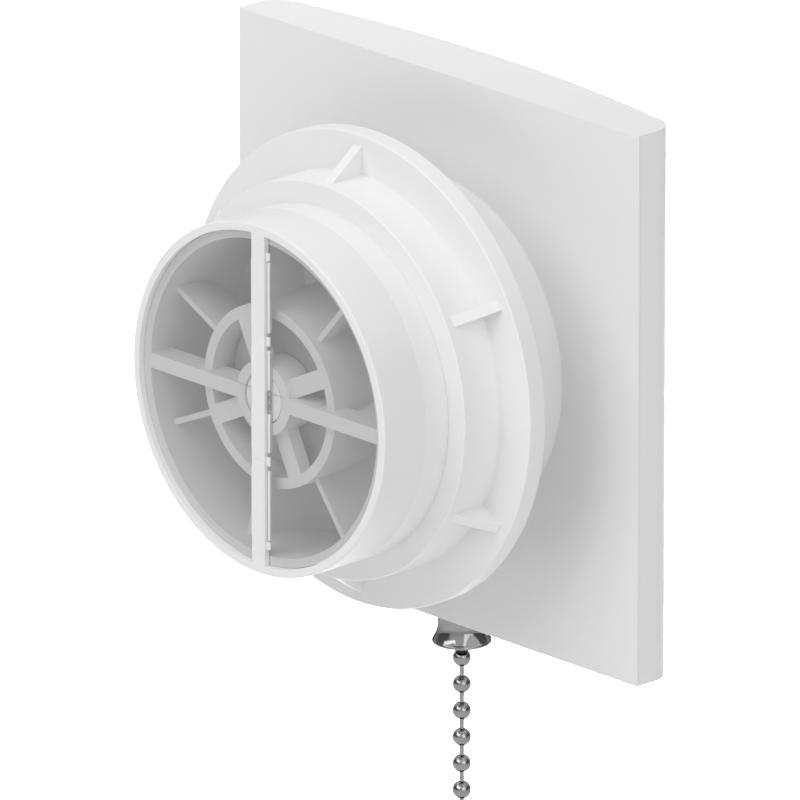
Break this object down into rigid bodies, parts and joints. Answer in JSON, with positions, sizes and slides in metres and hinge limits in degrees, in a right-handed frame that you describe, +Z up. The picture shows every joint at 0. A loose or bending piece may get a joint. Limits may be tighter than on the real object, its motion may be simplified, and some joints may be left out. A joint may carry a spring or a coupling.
{
  "type": "bathroom extractor fan",
  "caption": "Axial extractor fan with a bowed square front cover, round duct spigot with twin back-draught flaps, sliding wall collar and pull-chain switch.",
  "frame": {"origin": "on the fan's axis, at the duct-side face of the wall collar", "axes": "+Y along the fan's axis towards the duct, -Y into the room, +Z up, +X to the right seen from the room"},
  "size_m": [0.155, 0.0866, 0.3496],
  "materials": {
    "white_gloss": "glossy white moulded ABS with a light satin grain",
    "white_satin": "satin white moulded plastic",
    "clear_plastic": "clear, faintly grey polystyrene",
    "frosted_plastic": "frosted translucent polystyrene",
    "foam": "closed-cell foam",
    "steel": "bright drawn steel",
    "chrome": "polished chrome plate",
    "motor_metal": "zinc-plated pressed steel",
    "laminations": "stacked electrical steel",
    "copper": "enamelled copper wire",
    "brass": "sintered bronze and brass",
    "black_plastic": "black glass-filled nylon",
    "rubber": "black rubber",
    "grey_wire": "grey PVC insulation"
  },
  "bodies": {
    "base": {"fan_body": "white_gloss", "shutter_frame": "white_gloss", "flap_pin_left": "steel", "flap_pin_right": "steel", "guide_ring": "white_satin", "motor_bush": "rubber", "motor_can_outlet": "motor_metal", "motor_can_inlet": "motor_metal", "motor_retainer": "white_satin", "bearing_outlet": "brass", "bearing_inlet": "brass", "stator_core": "laminations", "bobbins": "black_plastic", "windings": "copper", "motor_lead": "grey_wire", "switch_housing": "black_plastic", "switch_lid": "black_plastic", "switch_spring": "steel", "switch_contacts": "brass", "chain_bell": "chrome", "terminal_block": "white_satin", "terminal_screws": "steel", "run_capacitor": "black_plastic", "cable_grommet": "rubber", "cable_clamp": "white_satin", "clamp_screws": "steel", "internal_wires": "grey_wire"},
    "cover": {"front_cover": "white_gloss"},
    "collar": {"wall_collar": "white_gloss", "collar_seal": "foam"},
    "flap_left": {"flap_left": "clear_plastic", "hinge_strip_left": "frosted_plastic", "flap_spring_left": "steel"},
    "flap_right": {"flap_right": "clear_plastic", "hinge_strip_right": "frosted_plastic", "flap_spring_right": "steel"},
    "rotor": {"rotor": "laminations", "motor_shaft": "steel", "impeller": "white_satin", "impeller_clip": "steel"},
    "lever": {"switch_lever": "white_satin"},
    "pull": {"pull_rod": "steel", "pull_chain": "chrome", "pull_knob": "chrome"}
  },
  "joints": [
    {"name": "cover_lift_off", "type": "slide", "parent": "base", "child": "cover", "axis": [0, -1, 0], "range_m": [0, 0.03]},
    {"name": "collar_slide", "type": "slide", "parent": "base", "child": "collar", "axis": [0, -1, 0], "range_m": [0, 0.021]},
    {"name": "flap_left_hinge", "type": "hinge", "parent": "base", "child": "flap_left", "pos_m": [-0.00315, 0.0223, 0], "axis": [0, 0, -1], "range_deg": [0, 75], "stiffness_Nm_per_rad": 0.002},
    {"name": "flap_right_hinge", "type": "hinge", "parent": "base", "child": "flap_right", "pos_m": [0.00315, 0.0223, 0], "axis": [0, 0, 1], "range_deg": [0, 75], "stiffness_Nm_per_rad": 0.002},
    {"name": "impeller_spin", "type": "hinge", "parent": "base", "child": "rotor", "pos_m": [0, 0, 0], "axis": [0, 1, 0], "continuous": true},
    {"name": "chain_pull", "type": "slide", "parent": "base", "child": "pull", "axis": [0, 0, -1], "range_m": [0, 0.007], "stiffness_N_per_m": 300, "springref_m": -0.004, "deforming": ["switch_spring"]},
    {"name": "lever_turn", "type": "hinge", "parent": "base", "child": "lever", "pos_m": [0.0084, -0.05, -0.0625], "axis": [0, -1, 0], "range_deg": [0, 46]}
  ],
  "couplings": [
    {"joint": "lever_turn", "follows": "chain_pull", "rad_per_m": 112.2}
  ]
}
